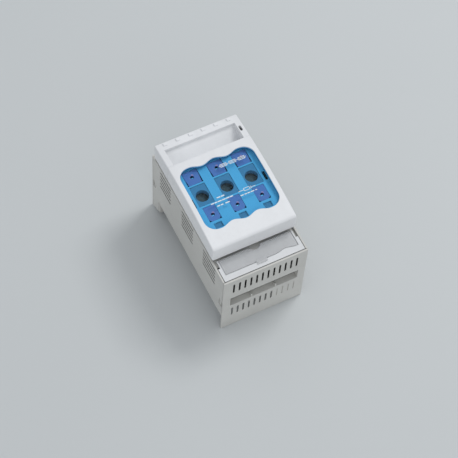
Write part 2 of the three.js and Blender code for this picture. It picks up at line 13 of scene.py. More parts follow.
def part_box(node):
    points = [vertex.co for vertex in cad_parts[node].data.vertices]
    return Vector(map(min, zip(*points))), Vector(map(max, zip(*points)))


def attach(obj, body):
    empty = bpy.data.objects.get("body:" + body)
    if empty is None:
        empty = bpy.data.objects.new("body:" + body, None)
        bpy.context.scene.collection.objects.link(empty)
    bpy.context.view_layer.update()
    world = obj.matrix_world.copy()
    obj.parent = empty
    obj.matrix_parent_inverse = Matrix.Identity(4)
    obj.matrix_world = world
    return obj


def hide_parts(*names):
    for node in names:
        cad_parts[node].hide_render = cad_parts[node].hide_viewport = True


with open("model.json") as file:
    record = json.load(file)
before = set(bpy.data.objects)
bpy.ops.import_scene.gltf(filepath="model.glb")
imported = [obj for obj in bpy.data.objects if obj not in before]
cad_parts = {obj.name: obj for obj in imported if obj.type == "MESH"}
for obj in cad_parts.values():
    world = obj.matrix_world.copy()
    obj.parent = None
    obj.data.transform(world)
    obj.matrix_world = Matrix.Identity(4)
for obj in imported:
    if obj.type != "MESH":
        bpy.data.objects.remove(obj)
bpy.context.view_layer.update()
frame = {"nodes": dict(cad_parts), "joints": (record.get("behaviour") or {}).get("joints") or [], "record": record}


MM = 0.001
RECORD = frame["record"]
SLOT_OF = {row["node"]: row["material_slot"] for row in RECORD["subparts"]}
BODY_OF = {
    node: body
    for body, nodes in RECORD["behaviour"]["bodies"].items()
    for node in nodes
}


# ---- sizes taken from the frame, in millimetres -------------------------
def span(node):
    """The lowest and highest corners of a CAD node, in millimetres."""
    low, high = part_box(node)
    return low / MM, high / MM


def middle(node):
    low, high = span(node)
    return (low + high) / 2


POLES = [middle(f"fuse_body_{n}").x for n in (1, 2, 3)]
FUSE_Y = middle("fuse_body_2").y
LUG_HALF = 22.5
BASE_LOW, BASE_HIGH = span("base_frame")
LID_LOW, LID_HIGH = span("lid_shell")
GRIP_LOW, GRIP_HIGH = span("grip_bow")
COVER_LOW, COVER_HIGH = span("terminal_cover")
NEAR_LOW, NEAR_HIGH = span("cable_shroud")
FAR_HIGH = span("grip_end_shroud")[1]

HALF = BASE_HIGH.x
SIDE_WALL = 1.7
INNER = HALF - SIDE_WALL
END_WALL = 2.0
NEAR = NEAR_LOW.y
FAR = FAR_HIGH.y
RIM_TOP = NEAR_HIGH.z
LID_HALF = LID_HIGH.x
LID_NEAR = LID_LOW.y
LID_FAR = GRIP_HIGH.y
LID_WALL = 2.2
CROWN_TOP = LID_HIGH.z
CROWN_RISE = 4.9
CROWN_MIDDLE = (LID_NEAR + LID_FAR) / 2
CROWN_RADIUS = ((LID_FAR - LID_NEAR) ** 2 / 4 + CROWN_RISE**2) / (2 * CROWN_RISE)
HINGE = [j for j in frame["joints"] if j["name"] == "lid_hinge"][0]["pos_m"]
HINGE_Y, HINGE_Z = HINGE[1] / MM, HINGE[2] / MM
GAP = 0.3


def crown(y):
    """Height of the lid's front at a length along it."""
    return CROWN_TOP - CROWN_RADIUS + math.sqrt(CROWN_RADIUS**2 - (y - CROWN_MIDDLE) ** 2)


# ---- shader maths -------------------------------------------------------
class Value:
    """A shader socket that takes part in sums; every sum adds its Math node."""

    def __init__(self, finish, socket):
        self.finish = finish
        self.socket = socket

    def _maths(self, operation, *values):
        return self.finish.node("ShaderNodeMath", {"operation": operation}, values)

    def __add__(self, other):
        return self._maths("ADD", self, other)

    __radd__ = __add__

    def __mul__(self, other):
        return self._maths("MULTIPLY", self, other)

    __rmul__ = __mul__

    def surface(self):
        """Makes this shader the material's surface."""
        self.finish.tree.links.new(self.socket, self.finish.tree.nodes["Material Output"].inputs["Surface"])


class Finish:
    """A material in the making, on a Principled shader."""

    def __init__(self, name, colour, roughness, **constants):
        self.material = bpy.data.materials.new(name)
        self.material.use_nodes = True
        self.tree = self.material.node_tree
        self.shader = self.tree.nodes["Principled BSDF"]
        self.shader.inputs["Base Color"].default_value = (*colour, 1)
        self.shader.inputs["Roughness"].default_value = roughness
        for socket, value in constants.items():
            self.shader.inputs[socket.replace("_", " ")].default_value = value
        coordinates = self.tree.nodes.new("ShaderNodeTexCoord")
        self.place = Value(self, coordinates.outputs["Object"])

    def node(self, kind, settings=None, inputs=(), output=0):
        """Any node, by its type, settings and inputs (in order, or by name)."""
        made = self.tree.nodes.new(kind)
        for key, value in (settings or {}).items():
            setattr(made, key, value)
        pairs = inputs.items() if isinstance(inputs, dict) else enumerate(inputs)
        for key, value in pairs:
            if isinstance(value, Value):
                self.tree.links.new(value.socket, made.inputs[key])
            elif value is not None:
                made.inputs[key].default_value = value
        return Value(self, made.outputs[output])

    def feed(self, socket, value):
        self.tree.links.new(value.socket, self.shader.inputs[socket])

    def noise(self, scale, detail=2.0, roughness=0.5, stretch=None, offset=(0, 0, 0)):
        place = self.place
        if stretch or any(offset):
            place = self.node(
                "ShaderNodeMapping",
                {},
                {"Vector": place, "Location": offset, "Scale": stretch or (1, 1, 1)},
            )
        return self.node(
            "ShaderNodeTexNoise",
            {},
            {"Vector": place, "Scale": scale, "Detail": detail, "Roughness": roughness},
        )

    def between(self, value, low, high, start=0.0, end=1.0):
        """value carried from low..high to start..end, and held there."""
        return self.node(
            "ShaderNodeMapRange",
            {"clamp": True},
            {"Value": value, "From Min": low, "From Max": high, "To Min": start, "To Max": end},
        )

    def blend(self, first, second, factor):
        """A colour between two colours; each is three numbers or a socket."""
        first, second = ((*c, 1) if isinstance(c, tuple) else c for c in (first, second))
        return self.node("ShaderNodeMix", {"data_type": "RGBA"}, {0: factor, 6: first, 7: second}, output=2)

    def bump(self, height, strength, distance):
        return self.node(
            "ShaderNodeBump", {}, {"Strength": strength, "Distance": distance, "Height": height}
        )


def shade(colour, factor):
    return tuple(min(1.0, c * factor) for c in colour)


def moulded(name, colour, roughness=0.42, grain=0.35, mottling=0.05, grime=0.0):
    """Moulded thermoplastic: spark-eroded grain, faint flow mottling, a trace of handling grime."""
    finish = Finish(name, colour, roughness, Specular_IOR_Level=0.42)
    flow = finish.noise(38, 4, 0.55, stretch=(1.0, 0.35, 1.0))
    speckle = finish.noise(420, 3, 0.6)
    grain_height = finish.noise(2600, 2, 0.6)
    patches = finish.between(flow, 0.3, 0.7)
    tint = finish.blend(shade(colour, 1 - mottling), shade(colour, 1 + mottling), patches)
    tint = finish.blend(tint, shade(colour, 0.9), finish.between(speckle, 0.56, 0.8, 0, 0.35))
    if grime:
        smudge = finish.noise(95, 5, 0.65, offset=(0.3, 0.1, 0.2))
        dirt = finish.between(smudge, 0.55, 0.78, 0, grime)
        tint = finish.blend(tint, (0.16, 0.15, 0.13), dirt)
    finish.feed("Base Color", tint)
    uneven = finish.between(flow, 0.3, 0.7, roughness - 0.05, roughness + 0.07)
    finish.feed("Roughness", uneven + speckle * 0.06)
    finish.feed("Normal", finish.bump(grain_height, grain, 0.00012))
    return finish.material


CLOUD = 0.025  # how far the alpha of clear plastic strays each way


def clear_plastic(name, colour, alpha, roughness):
    """Clear moulded plastic: thin tinted skin with a gloss coat, faint flow lines and fine scratches."""
    finish = Finish(name, colour, roughness, Specular_IOR_Level=0.5, Coat_Roughness=0.06)
    flow = finish.noise(24, 3, 0.5, stretch=(1.0, 0.4, 1.0))
    scratch = finish.noise(900, 2, 0.7, stretch=(1.0, 0.04, 1.0))
    depth = finish.between(flow, 0.3, 0.7)
    finish.feed("Base Color", finish.blend(shade(colour, 0.9), shade(colour, 1.08), depth))
    finish.feed("Roughness", finish.between(scratch, 0.55, 0.75, roughness, roughness + 0.12))
    finish.feed("Alpha", finish.between(depth, 0, 1, alpha - CLOUD, alpha + CLOUD))
    finish.feed("Coat Weight", finish.between(scratch, 0.3, 0.7, 0.1, 0.25))
    finish.feed("Normal", finish.bump(flow, 0.03, 0.0006))
    finish.material.surface_render_method = "BLENDED"
    return finish.material


def tinted_pane(name, tint, colour, shine):
    """Clear coloured pane: it tints what lies behind it and keeps a faint gloss."""
    finish = Finish(name, colour, 0.1, Metallic=1.0)
    flow = finish.noise(24, 3, 0.5, stretch=(1.0, 0.4, 1.0))
    scratch = finish.noise(900, 2, 0.7, stretch=(1.0, 0.04, 1.0))
    depth = finish.between(flow, 0.3, 0.7)
    finish.feed("Base Color", finish.blend(shade(colour, 0.9), shade(colour, 1.08), depth))
    finish.feed("Roughness", finish.between(scratch, 0.5, 0.75, 0.08, 0.2))
    finish.feed("Normal", finish.bump(flow, 0.04, 0.0006))
    passing = finish.node("ShaderNodeBsdfTransparent", {}, {"Color": (*tint, 1)})
    factor = finish.between(scratch, 0.4, 0.8, shine, shine * 1.6)
    gloss = Value(finish, finish.shader.outputs[0])
    finish.node("ShaderNodeMixShader", {}, (factor, passing, gloss)).surface()
    finish.material.surface_render_method = "BLENDED"
    return finish.material


def metal(name, colour, roughness, tarnish=None):
    """Rolled or plated metal: brushed one way, with faint stains."""
    finish = Finish(name, colour, roughness, Metallic=1.0)
    lines = finish.noise(160, 3, 0.6, stretch=(1.0, 18.0, 18.0))
    stain = finish.noise(70, 5, 0.6)
    tint = finish.blend(shade(colour, 0.86), shade(colour, 1.06), finish.between(lines, 0.35, 0.65))
    tint = finish.blend(tint, tarnish or shade(colour, 0.6), finish.between(stain, 0.55, 0.8, 0, 0.5))
    finish.feed("Base Color", tint)
    finish.feed("Roughness", finish.between(lines, 0.3, 0.7, roughness - 0.06, roughness + 0.12))
    finish.feed("Normal", finish.bump(lines, 0.15, 0.0001))
    return finish.material


def ceramic(name, colour):
    """Unglazed steatite: chalky, with fine pits and pressing marks."""
    finish = Finish(name, colour, 0.55, Specular_IOR_Level=0.35)
    pits = finish.noise(1500, 3, 0.7)
    cloud = finish.noise(60, 4, 0.6)
    tint = finish.blend(shade(colour, 0.9), shade(colour, 1.05), finish.between(cloud, 0.3, 0.7))
    tint = finish.blend(tint, shade(colour, 0.6), finish.between(pits, 0.62, 0.8, 0, 0.6))
    finish.feed("Base Color", tint)
    finish.feed("Roughness", finish.between(cloud, 0.3, 0.7, 0.48, 0.66))
    finish.feed("Normal", finish.bump(pits, 0.3, 0.0001))
    return finish.material


def card(name, colour):
    """Plain label card with its paper fibre."""
    finish = Finish(name, colour, 0.8, Specular_IOR_Level=0.2)
    fibre = finish.noise(1200, 4, 0.7, stretch=(1.0, 3.0, 1.0))
    weave = finish.between(fibre, 0.3, 0.7)
    finish.feed("Base Color", finish.blend(shade(colour, 0.93), shade(colour, 1.03), weave))
    finish.feed("Normal", finish.bump(fibre, 0.2, 0.00008))
    finish.feed("Roughness", finish.between(fibre, 0.3, 0.7, 0.74, 0.88))
    return finish.material


FINISHES = {
    "housing_grey": moulded("housing_grey", (0.61, 0.605, 0.575), grime=0.06),
    "lid_white": moulded("lid_white", (0.83, 0.84, 0.855), roughness=0.4, grain=0.28, grime=0.04),
    "cover_grey": moulded("cover_grey", (0.72, 0.73, 0.74), roughness=0.36, grain=0.22),
    "window_blue": tinted_pane("window_blue", (0.58, 0.86, 1.0), (0.4, 0.62, 0.85), 0.006),
    "label_clear": clear_plastic("label_clear", (0.70, 0.71, 0.72), 0.5, 0.3),
    "label_paper": card("label_paper", (0.62, 0.63, 0.64)),
    "carrier_grey": moulded("carrier_grey", (0.10, 0.105, 0.11), roughness=0.55, mottling=0.12),
    "carrier_light": moulded("carrier_light", (0.81, 0.77, 0.75), roughness=0.5, mottling=0.03),
    "clip_violet": moulded("clip_violet", (0.80, 0.35, 0.50), roughness=0.5),
    "frame_grey": moulded("frame_grey", (0.55, 0.40, 0.41), roughness=0.5),
    "fuse_print": moulded("fuse_print", (0.60, 0.19, 0.11), roughness=0.6, mottling=0.4),
    # The cable membrane's darker grey is partly its own tone and partly painted shade of the recess it sits in.
    "membrane_grey": moulded("membrane_grey", (0.30, 0.30, 0.285), roughness=0.7, grain=0.5, mottling=0.08),
    "black_plastic": moulded("black_plastic", (0.012, 0.012, 0.014), roughness=0.35, grain=0.15),
    "dark_insert": moulded("dark_insert", (0.07, 0.085, 0.16), roughness=0.45, mottling=0.1),
    "steel": metal("steel", (0.58, 0.59, 0.60), 0.28),
    "copper": metal("copper", (0.80, 0.45, 0.30), 0.3, tarnish=(0.30, 0.16, 0.10)),
    "silvered_copper": metal("silvered_copper", (0.80, 0.80, 0.78), 0.24, tarnish=(0.42, 0.38, 0.32)),
    "ceramic": ceramic("ceramic", (0.70, 0.66, 0.57)),
    "print_white": moulded("print_white", (0.82, 0.85, 0.88), roughness=0.5, grain=0.1),
}


# ---- modelling, in millimetres ------------------------------------------
def deselect():
    if bpy.context.object and bpy.context.object.mode != "OBJECT":
        bpy.ops.object.mode_set(mode="OBJECT")
    bpy.ops.object.select_all(action="DESELECT")


def pick(*pieces):
    """Selects these pieces only; the first is the active one."""
    deselect()
    for piece in pieces:
        piece.select_set(True)
    bpy.context.view_layer.objects.active = pieces[0]
    return pieces[0]


def edit(piece, mode="FACE", action="SELECT"):
    pick(piece)
    bpy.ops.object.mode_set(mode="EDIT")
    bpy.ops.mesh.select_mode(type=mode)
    bpy.ops.mesh.select_all(action=action)


def done():
    bpy.ops.object.mode_set(mode="OBJECT")


def set_transform(piece):
    pick(piece)
    bpy.ops.object.transform_apply(location=True, rotation=True, scale=True)
    return piece


def modify(piece, kind, **settings):
    pick(piece)
    modifier = piece.modifiers.new(kind.lower(), kind)
    for key, value in settings.items():
        setattr(modifier, key, value)
    bpy.ops.object.modifier_apply(modifier=modifier.name)
    return piece


def round_edges(piece, width, segments=3, angle=35):
    """Rounds every edge that turns by more than angle, in degrees."""
    return modify(
        piece,
        "BEVEL",
        width=width,
        segments=segments,
        limit_method="ANGLE",
        angle_limit=math.radians(angle),
        use_clamp_overlap=True,
        miter_outer="MITER_ARC",
    )


def brick(x0, x1, y0, y1, z0, z1, edge=0.0):
    """A block between two corners, its edges rounded by edge."""
    deselect()
    centre = ((x0 + x1) / 2, (y0 + y1) / 2, (z0 + z1) / 2)
    bpy.ops.mesh.primitive_cube_add(size=1, location=centre)
    piece = bpy.context.object
    piece.scale = (x1 - x0, y1 - y0, z1 - z0)
    set_transform(piece)
    if edge:
        edit(piece, "EDGE")
        bpy.ops.mesh.bevel(offset=edge, segments=2, affect="EDGES")
        done()
    return piece


def rod(axis, radius, low, high, at, sides=32):
    """A round bar along an axis, between two places on it."""
    deselect()
    centre = (low + high) / 2
    turns = {"x": (0, math.pi / 2, 0), "y": (math.pi / 2, 0, 0), "z": (0, 0, 0)}
    places = {"x": (centre, at[0], at[1]), "y": (at[0], centre, at[1]), "z": (at[0], at[1], centre)}
    bpy.ops.mesh.primitive_cylinder_add(
        vertices=sides, radius=radius, depth=high - low, location=places[axis], rotation=turns[axis]
    )
    return set_transform(bpy.context.object)


def prism(points, axis, low, high):
    """An outline across an axis, extruded along it from low to high."""
    deselect()
    bpy.ops.mesh.primitive_circle_add(vertices=len(points), radius=1, fill_type="NGON")
    piece = bpy.context.object
    for vertex, (u, v) in zip(piece.data.vertices, points):
        vertex.co = {"x": (low, u, v), "y": (u, low, v), "z": (u, v, low)}[axis]
    edit(piece)
    reach = high - low
    move = {"x": (reach, 0, 0), "y": (0, reach, 0), "z": (0, 0, reach)}[axis]
    bpy.ops.mesh.extrude_region_move(TRANSFORM_OT_translate={"value": move})
    bpy.ops.mesh.select_all(action="SELECT")
    bpy.ops.mesh.normals_make_consistent(inside=False)
    done()
    # The ring that the extrusion started from closes the other end.
    return close_holes(piece)


def close_holes(piece):
    edit(piece, "EDGE", "DESELECT")
    bpy.ops.mesh.select_non_manifold(extend=False, use_wire=False, use_multi_face=False)
    done()
    if any(e.select for e in piece.data.edges):
        edit_kept(piece)
        bpy.ops.mesh.edge_face_add()
        bpy.ops.mesh.select_all(action="SELECT")
        bpy.ops.mesh.normals_make_consistent(inside=False)
        done()
    return piece


def edit_kept(piece):
    """Edit mode with the selection that is there."""
    pick(piece)
    bpy.ops.object.mode_set(mode="EDIT")


def combine(piece, others, operation):
    for other in others:
        modify(piece, "BOOLEAN", operation=operation, object=other, solver="EXACT")
        bpy.data.objects.remove(other)
    return piece


def carve(piece, *tools):
    return combine(piece, tools, "DIFFERENCE")


def unite(piece, *others):
    return combine(piece, others, "UNION")


def keep_inside(piece, other):
    return combine(piece, [other], "INTERSECT")


def gather(pieces):
    """Separate shells in one object, such as a row of cutters or of printed marks."""
    pick(*pieces)
    bpy.ops.object.join()
    return bpy.context.object


def copies(piece, offsets):
    """The piece once at each offset, gathered; the piece itself is used up."""
    made = []
    for offset in offsets:
        twin = piece.copy()
        twin.data = piece.data.copy()
        bpy.context.collection.objects.link(twin)
        twin.data.transform(Matrix.Translation(offset))
        made.append(twin)
    bpy.data.objects.remove(piece)
    return gather(made)


def mirrored(piece):
    """The piece and its mirror image across X = 0, gathered."""
    twin = piece.copy()
    twin.data = piece.data.copy()
    bpy.context.collection.objects.link(twin)
    twin.data.transform(Matrix.Scale(-1, 4, Vector((1, 0, 0))))
    twin.data.flip_normals()
    return gather([piece, twin])


SMOOTH_ANGLE = math.radians(32)
DOUBLES = 0.0005


def settle(piece, name, nodes, slot=None, body=None, look=None):
    """Scales a finished piece to metres, gives it its name, finish and body, and hides the CAD nodes it stands
    for.

    look names a finish other than the slot's own.
    """
    edit(piece)
    bpy.ops.mesh.remove_doubles(threshold=DOUBLES)
    done()
    pick(piece)
    bpy.ops.object.shade_smooth_by_angle(angle=SMOOTH_ANGLE)
    modify(piece, "WEIGHTED_NORMAL", keep_sharp=True)
    piece.data.transform(Matrix.Scale(MM, 4))
    piece.name = name
    piece.data.name = name
    slot = slot or SLOT_OF[nodes[0]]
    piece.data.materials.clear()
    piece.data.materials.append(FINISHES[look or slot])
    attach(piece, body or BODY_OF[nodes[0]])
    slot in {row["slot"] for row in RECORD["materials"]}
    if nodes:
        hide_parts(*nodes)
    return piece


def from_frame(node):
    """A merged copy of a CAD node in millimetres, its flat faces whole again."""
    mesh = frame["nodes"][node].data.copy()
    piece = bpy.data.objects.new(node + "_copy", mesh)
    bpy.context.collection.objects.link(piece)
    mesh.transform(Matrix.Scale(1 / MM, 4))
    edit(piece, "VERT")
    bpy.ops.mesh.remove_doubles(threshold=0.001)
    bpy.ops.mesh.customdata_custom_splitnormals_clear()
    bpy.ops.mesh.dissolve_limited(angle_limit=math.radians(0.5))
    done()
    return piece


def soften(node, width, look=None):
    """The CAD node's own shape with its edges rounded."""
    return settle(round_edges(from_frame(node), width, 2), node + "_body", [node], look=look)


# ---- outlines -----------------------------------------------------------
def arc(centre, radius, start, end, steps):
    """Points on an arc, from one angle to another, in degrees."""
    points = []
    for step in range(steps + 1):
        angle = math.radians(start + (end - start) * step / steps)
        points.append((centre[0] + radius * math.cos(angle), centre[1] + radius * math.sin(angle)))
    return points


def crowned(y0, y1, drop, low, steps=40, radius=0.0):
    """Side outline of the lid's front, lowered by drop; radius rounds its near end."""
    points = [(y0, low), (y1, low)]
    for step in range(steps + 1):
        y = y1 + (y0 + radius - y1) * step / steps
        points.append((y, crown(y) - drop))
    if radius:
        centre = (y0 + radius, crown(y0 + radius) - drop - radius)
        points += arc(centre, radius, 90, 180, 8)[1:]
    return points


PANE_HALF, PANE_NEAR, PANE_FAR, PANE_CORNER = 38.8, -33.1, 35.0, 11.5
LOBE_DEPTH, POLE_PITCH = 1.6, 26


def lobed(grow=0.0):
    """The window's lobed outline, one lobe to a pole."""
    steps, turns = 60, 12
    inside = PANE_HALF + grow - PANE_CORNER

    def lobe(x):
        return LOBE_DEPTH * math.cos(2 * math.pi * x / POLE_PITCH)

    end = lobe(inside) + grow
    far, near = PANE_FAR + end - PANE_CORNER, PANE_NEAR - end + PANE_CORNER
    run = [inside - 2 * inside * step / steps for step in range(steps + 1)]
    points = [(x, PANE_FAR + lobe(x) + grow) for x in run]
    points += arc((-inside, far), PANE_CORNER, 90, 180, turns)[1:]
    points += arc((-inside, near), PANE_CORNER, 180, 270, turns)[:-1]
    points += [(x, PANE_NEAR - lobe(x) - grow) for x in reversed(run)]
    points += arc((inside, near), PANE_CORNER, 270, 360, turns)[1:]
    points += arc((inside, far), PANE_CORNER, 0, 90, turns)[:-1]
    return points


def slot_outline(u0, u1, v0, v1):
    """A slot with round ends, long in v."""
    steps = 6
    radius = (u1 - u0) / 2
    middle_u = (u0 + u1) / 2
    top = arc((middle_u, v1 - radius), radius, 0, 180, steps)
    return top + arc((middle_u, v0 + radius), radius, 180, 360, steps)


# ---- lid ----------------------------------------------------------------
# The two mouldings of the lid meet in a hair line.
SEAM = GRIP_LOW.y - 0.08
SIDE_ROUND = 1.3
NOSE_ROUND = 3.4
CLEAR_TOP = 125  # above every part of the lid
HINGE_LUG_INNER, HINGE_LUG_FAR, HINGE_LUG_TOP = 39.8, -43.5, 104
HINGE_BORE, HINGE_BORE_END = 1.85, 41.9
END_PLATE_LOW, END_PLATE_TOP = 98.5, 116


def cut_square(piece, y0, y1):
    """Takes off what lies between two lengths, leaving a sharp end."""
    return carve(piece, brick(-60, 60, y0, y1, 60, 140))


def lid_shell():
    """Main moulding of the lid: shaped past the seam, then cut there."""
    shell = prism(crowned(LID_NEAR, SEAM + 6, 0, LID_LOW.z, radius=NOSE_ROUND), "x", -LID_HALF, LID_HALF)
    round_edges(shell, SIDE_ROUND, 4)
    hollow = prism(
        crowned(LID_NEAR + LID_WALL, SEAM + 9, LID_WALL, LID_LOW.z - 5, radius=1.5),
        "x", -LID_HALF + LID_WALL, LID_HALF - LID_WALL,
    )
    carve(shell, hollow)
    lug = brick(HINGE_LUG_INNER, LID_HALF - 1.5, LID_NEAR + 1.5, HINGE_LUG_FAR, LID_LOW.z, HINGE_LUG_TOP)
    unite(shell, mirrored(lug))
    opening = prism(lobed(GAP), "z", 105, CLEAR_TOP)
    bore = rod("x", HINGE_BORE, -HINGE_BORE_END, HINGE_BORE_END, (HINGE_Y, HINGE_Z))
    carve(shell, opening, bore)
    round_edges(shell, 0.2, 2, 45)
    half = LID_HALF - 1.5
    unite(shell, brick(-half, half, SEAM - 2, SEAM + 2, END_PLATE_LOW, END_PLATE_TOP))
    cut_square(shell, SEAM, SEAM + 20)
    return settle(shell, "lid_shell_moulding", ["lid_shell"])


GRIP_NEAR = GRIP_LOW.y
RECESS_FAR = 65.6
RECESS_HALF = 37.6
NUBS, NUB_PITCH, NUB_HALF = 6, 13.6, 1.9
LATCH_X = middle("lock_slider").x
LATCH_SLOT_HALF, LATCH_SLOT_NEAR, LATCH_SLOT_FAR, LATCH_SLOT_FLOOR = 1.3, 53.6, 60.4, 105.7


def grip_bow():
    """Grip end of the lid: cheeks, finger scoop and ribbed bar, cut square at the seam."""
    grip = prism(crowned(GRIP_NEAR - 6, LID_FAR, 0, LID_LOW.z, steps=12), "x", -LID_HALF, LID_HALF)
    round_edges(grip, SIDE_ROUND, 4)
    hollow = prism(
        [(GRIP_NEAR - 9, LID_LOW.z - 5), (LID_FAR - LID_WALL, LID_LOW.z - 5), (LID_FAR - LID_WALL, 110),
         (RECESS_FAR + 2, 111), (RECESS_FAR + 2, 108.2), (RECESS_FAR, 107.6), (GRIP_NEAR + 4, 98.8),
         (GRIP_NEAR + 1, 98.3), (GRIP_NEAR - 9, 98.3)],
        "x", -LID_HALF + LID_WALL, LID_HALF - LID_WALL,
    )
    scoop = prism(
        [(GRIP_NEAR - 12, 130), (GRIP_NEAR - 12, 101), (GRIP_NEAR + 1.2, 101), (GRIP_NEAR + 2.4, 101.2),
         (GRIP_NEAR + 3.4, 101.6), (RECESS_FAR - 1.6, 109.4), (RECESS_FAR - 0.7, 110),
         (RECESS_FAR - 0.15, 110.9), (RECESS_FAR, 112), (RECESS_FAR, 130)],
        "x", -RECESS_HALF, RECESS_HALF,
    )
    edit(scoop, "EDGE", "DESELECT")
    done()
    for edge in scoop.data.edges:
        ends = [scoop.data.vertices[v].co for v in edge.vertices]
        edge.select = all(abs(abs(e.x) - RECESS_HALF) < 0.01 and e.z < CLEAR_TOP for e in ends)
    edit_kept(scoop)
    bpy.ops.mesh.bevel(offset=0.7, segments=3, affect="EDGES")
    done()
    carve(grip, hollow, scoop)
    cheek = brick(LATCH_X - 2, LID_HALF - 1.8, 52, 62, 104, crown(62) - 1)
    unite(grip, cheek)
    latch_slot = slot_outline(
        LATCH_X - LATCH_SLOT_HALF, LATCH_X + LATCH_SLOT_HALF, LATCH_SLOT_NEAR, LATCH_SLOT_FAR
    )
    carve(grip, prism(latch_slot, "z", LATCH_SLOT_FLOOR, CLEAR_TOP))
    round_edges(grip, 0.35, 2, 45)
    nub = brick(-NUB_HALF, NUB_HALF, 70.2, 73.5, 112.5, 115.4, 0.2)
    unite(grip, copies(nub, [((i - (NUBS - 1) / 2) * NUB_PITCH, 0, 0) for i in range(NUBS)]))
    cut_square(grip, GRIP_NEAR - 20, GRIP_NEAR)
    return settle(grip, "grip_bow_moulding", ["grip_bow"])


PANE_DROP = 0.9  # the pane lies this far under the lid's front
PANE_SKIN = 1.2  # thickness of its flange
TEST_HOLE = 1.7


def inspection_window():
    """Pane with a flange that lies behind the lid, and two test holes to a pole."""
    pane = prism(lobed(), "z", 100, CLEAR_TOP)
    keep_inside(pane, prism(crowned(-46, 45, PANE_DROP, 100), "x", -43, 43))
    round_edges(pane, 0.45, 3, 50)
    flange = prism(crowned(-41.5, 42, LID_WALL + GAP, 100), "x", -41.3, 41.3)
    unite(pane, flange)
    carve(pane, prism(crowned(-47, 46, LID_WALL + GAP + PANE_SKIN, 90), "x", -45, 45))
    for x in POLES:
        for end in (-1, 1):
            carve(pane, rod("z", TEST_HOLE, 100, CLEAR_TOP, (x, FUSE_Y + end * LUG_HALF), 24))
    return settle(pane, "inspection_window_pane", ["inspection_window"])


lid_shell()
grip_bow()
inspection_window()
slider_low, slider_high = span("lock_slider")
slider = brick(
    slider_low.x, slider_high.x, slider_low.y, slider_high.y, slider_low.z, slider_high.z - 0.6, 0.4
)
settle(slider, "lock_slider_key", ["lock_slider"])


# ---- marks printed on the window ----------------------------------------
PRINT = 0.06  # how far the print stands out of the window
DASH_HALF = 0.55


def mark(x0, x1, y0, y1):
    """A flat printed patch that lies on the window's crown."""
    z = crown((y0 + y1) / 2) - PANE_DROP
    return brick(x0, x1, y0, y1, z - 0.25, z + PRINT)


def printed_marks():
    """Generic print: three fuse symbols, a switch symbol and plain rating dashes."""
    marks = []
    for index in range(3):
        x = 2 + index * 9.6
        y = 25.5
        marks += [mark(x, x + 7, y + 1.1, y + 1.7), mark(x, x + 7, y - 1.7, y - 1.1),
                  mark(x, x + 0.6, y - 1.1, y + 1.1), mark(x + 6.4, x + 7, y - 1.1, y + 1.1),
                  mark(x - 1.2, x + 8.2, y - 0.3, y + 0.3)]
    rating_dashes = (
        (-4.7, ((-16.5, -12.8), (-12.2, -8.6))),
        (-8.7, ((-24.5, -21.4), (-20.8, -18.2), (-17.6, -13.4), (-12.8, -9.2), (-8.6, -5.2), (-4.6, -1.6))),
        (-12.9, ((-20, -17), (-16.2, -13.6), (-11.4, -7))),
    )
    for y, dashes in rating_dashes:
        marks += [mark(x0, x1, y - DASH_HALF, y + DASH_HALF) for x0, x1 in dashes]
    marks += [mark(5, 10.6, -7.65, -7.15), mark(17.4, 23, -7.65, -7.15),
              mark(10.6, 17, -6.3, -5.8), mark(10.6, 17, -9, -8.5),
              mark(10.6, 11.1, -8.5, -6.3), mark(16.5, 17, -8.5, -6.3),
              mark(18.2, 18.7, -8.8, -6)]
    switch_dashes = ((5, 8.2), (9.2, 11.6), (12.2, 15), (15.8, 19.4), (20.6, 22.4))
    marks += [mark(x0, x1, -12.5, -11.5) for x0, x1 in switch_dashes]
    sheet = gather(marks)
    return settle(sheet, "printed_marks", [], slot="print_white", body="lid")


printed_marks()


# ---- parts behind the window --------------------------------------------
for n in (1, 2, 3):
    soften(f"viewing_frame_{n}", 0.25, look="frame_grey")
    soften(f"lug_clip_upper_{n}", 0.25, look="clip_violet")
    soften(f"lug_clip_lower_{n}", 0.25, look="clip_violet")
soften("fuse_carrier", 0.25)


def carrier_pockets():
    """Shallow floors that close the carrier's three near holes."""
    low = span("fuse_carrier")[0].z
    floors = [brick(x - 4.6, x + 4.6, -32.4, -25.4, low - 0.9, low + 0.02) for x in POLES]
    return settle(gather(floors), "carrier_pockets", [], slot="dark_insert", body="lid", look="frame_grey")


carrier_pockets()


# ---- terminal cover and label -------------------------------------------
LABEL_LOW, LABEL_HIGH = span("label_window")
LABEL_HALF = LABEL_HIGH.x
LABEL_NEAR = -69.6
LABEL_FAR = LABEL_HIGH.y
PRY_CENTRE = (0, COVER_HIGH.y + 2.6)
PRY_RADIUS = 6.3
POCKET_FLOOR, POCKET_GAP = 89.6, 0.6
DRAW_IN, DRAW_IN_X, DRAW_IN_WIDTH = 1.9, 25, 6
NOTCH_X, NOTCH_FAR = 40, -61.6


def label_outline(grow):
    """The label's outline: straight sides, and a near edge that draws in at one place."""
    steps = 32
    half = LABEL_HALF + grow
    points = [(half, LABEL_FAR + grow), (-half, LABEL_FAR + grow)]
    for step in range(steps + 1):
        x = -half + 2 * half * step / steps
        drawn = DRAW_IN * math.exp(-((x - DRAW_IN_X) ** 2) / DRAW_IN_WIDTH**2)
        points.append((x, LABEL_NEAR - grow + drawn))
    return points


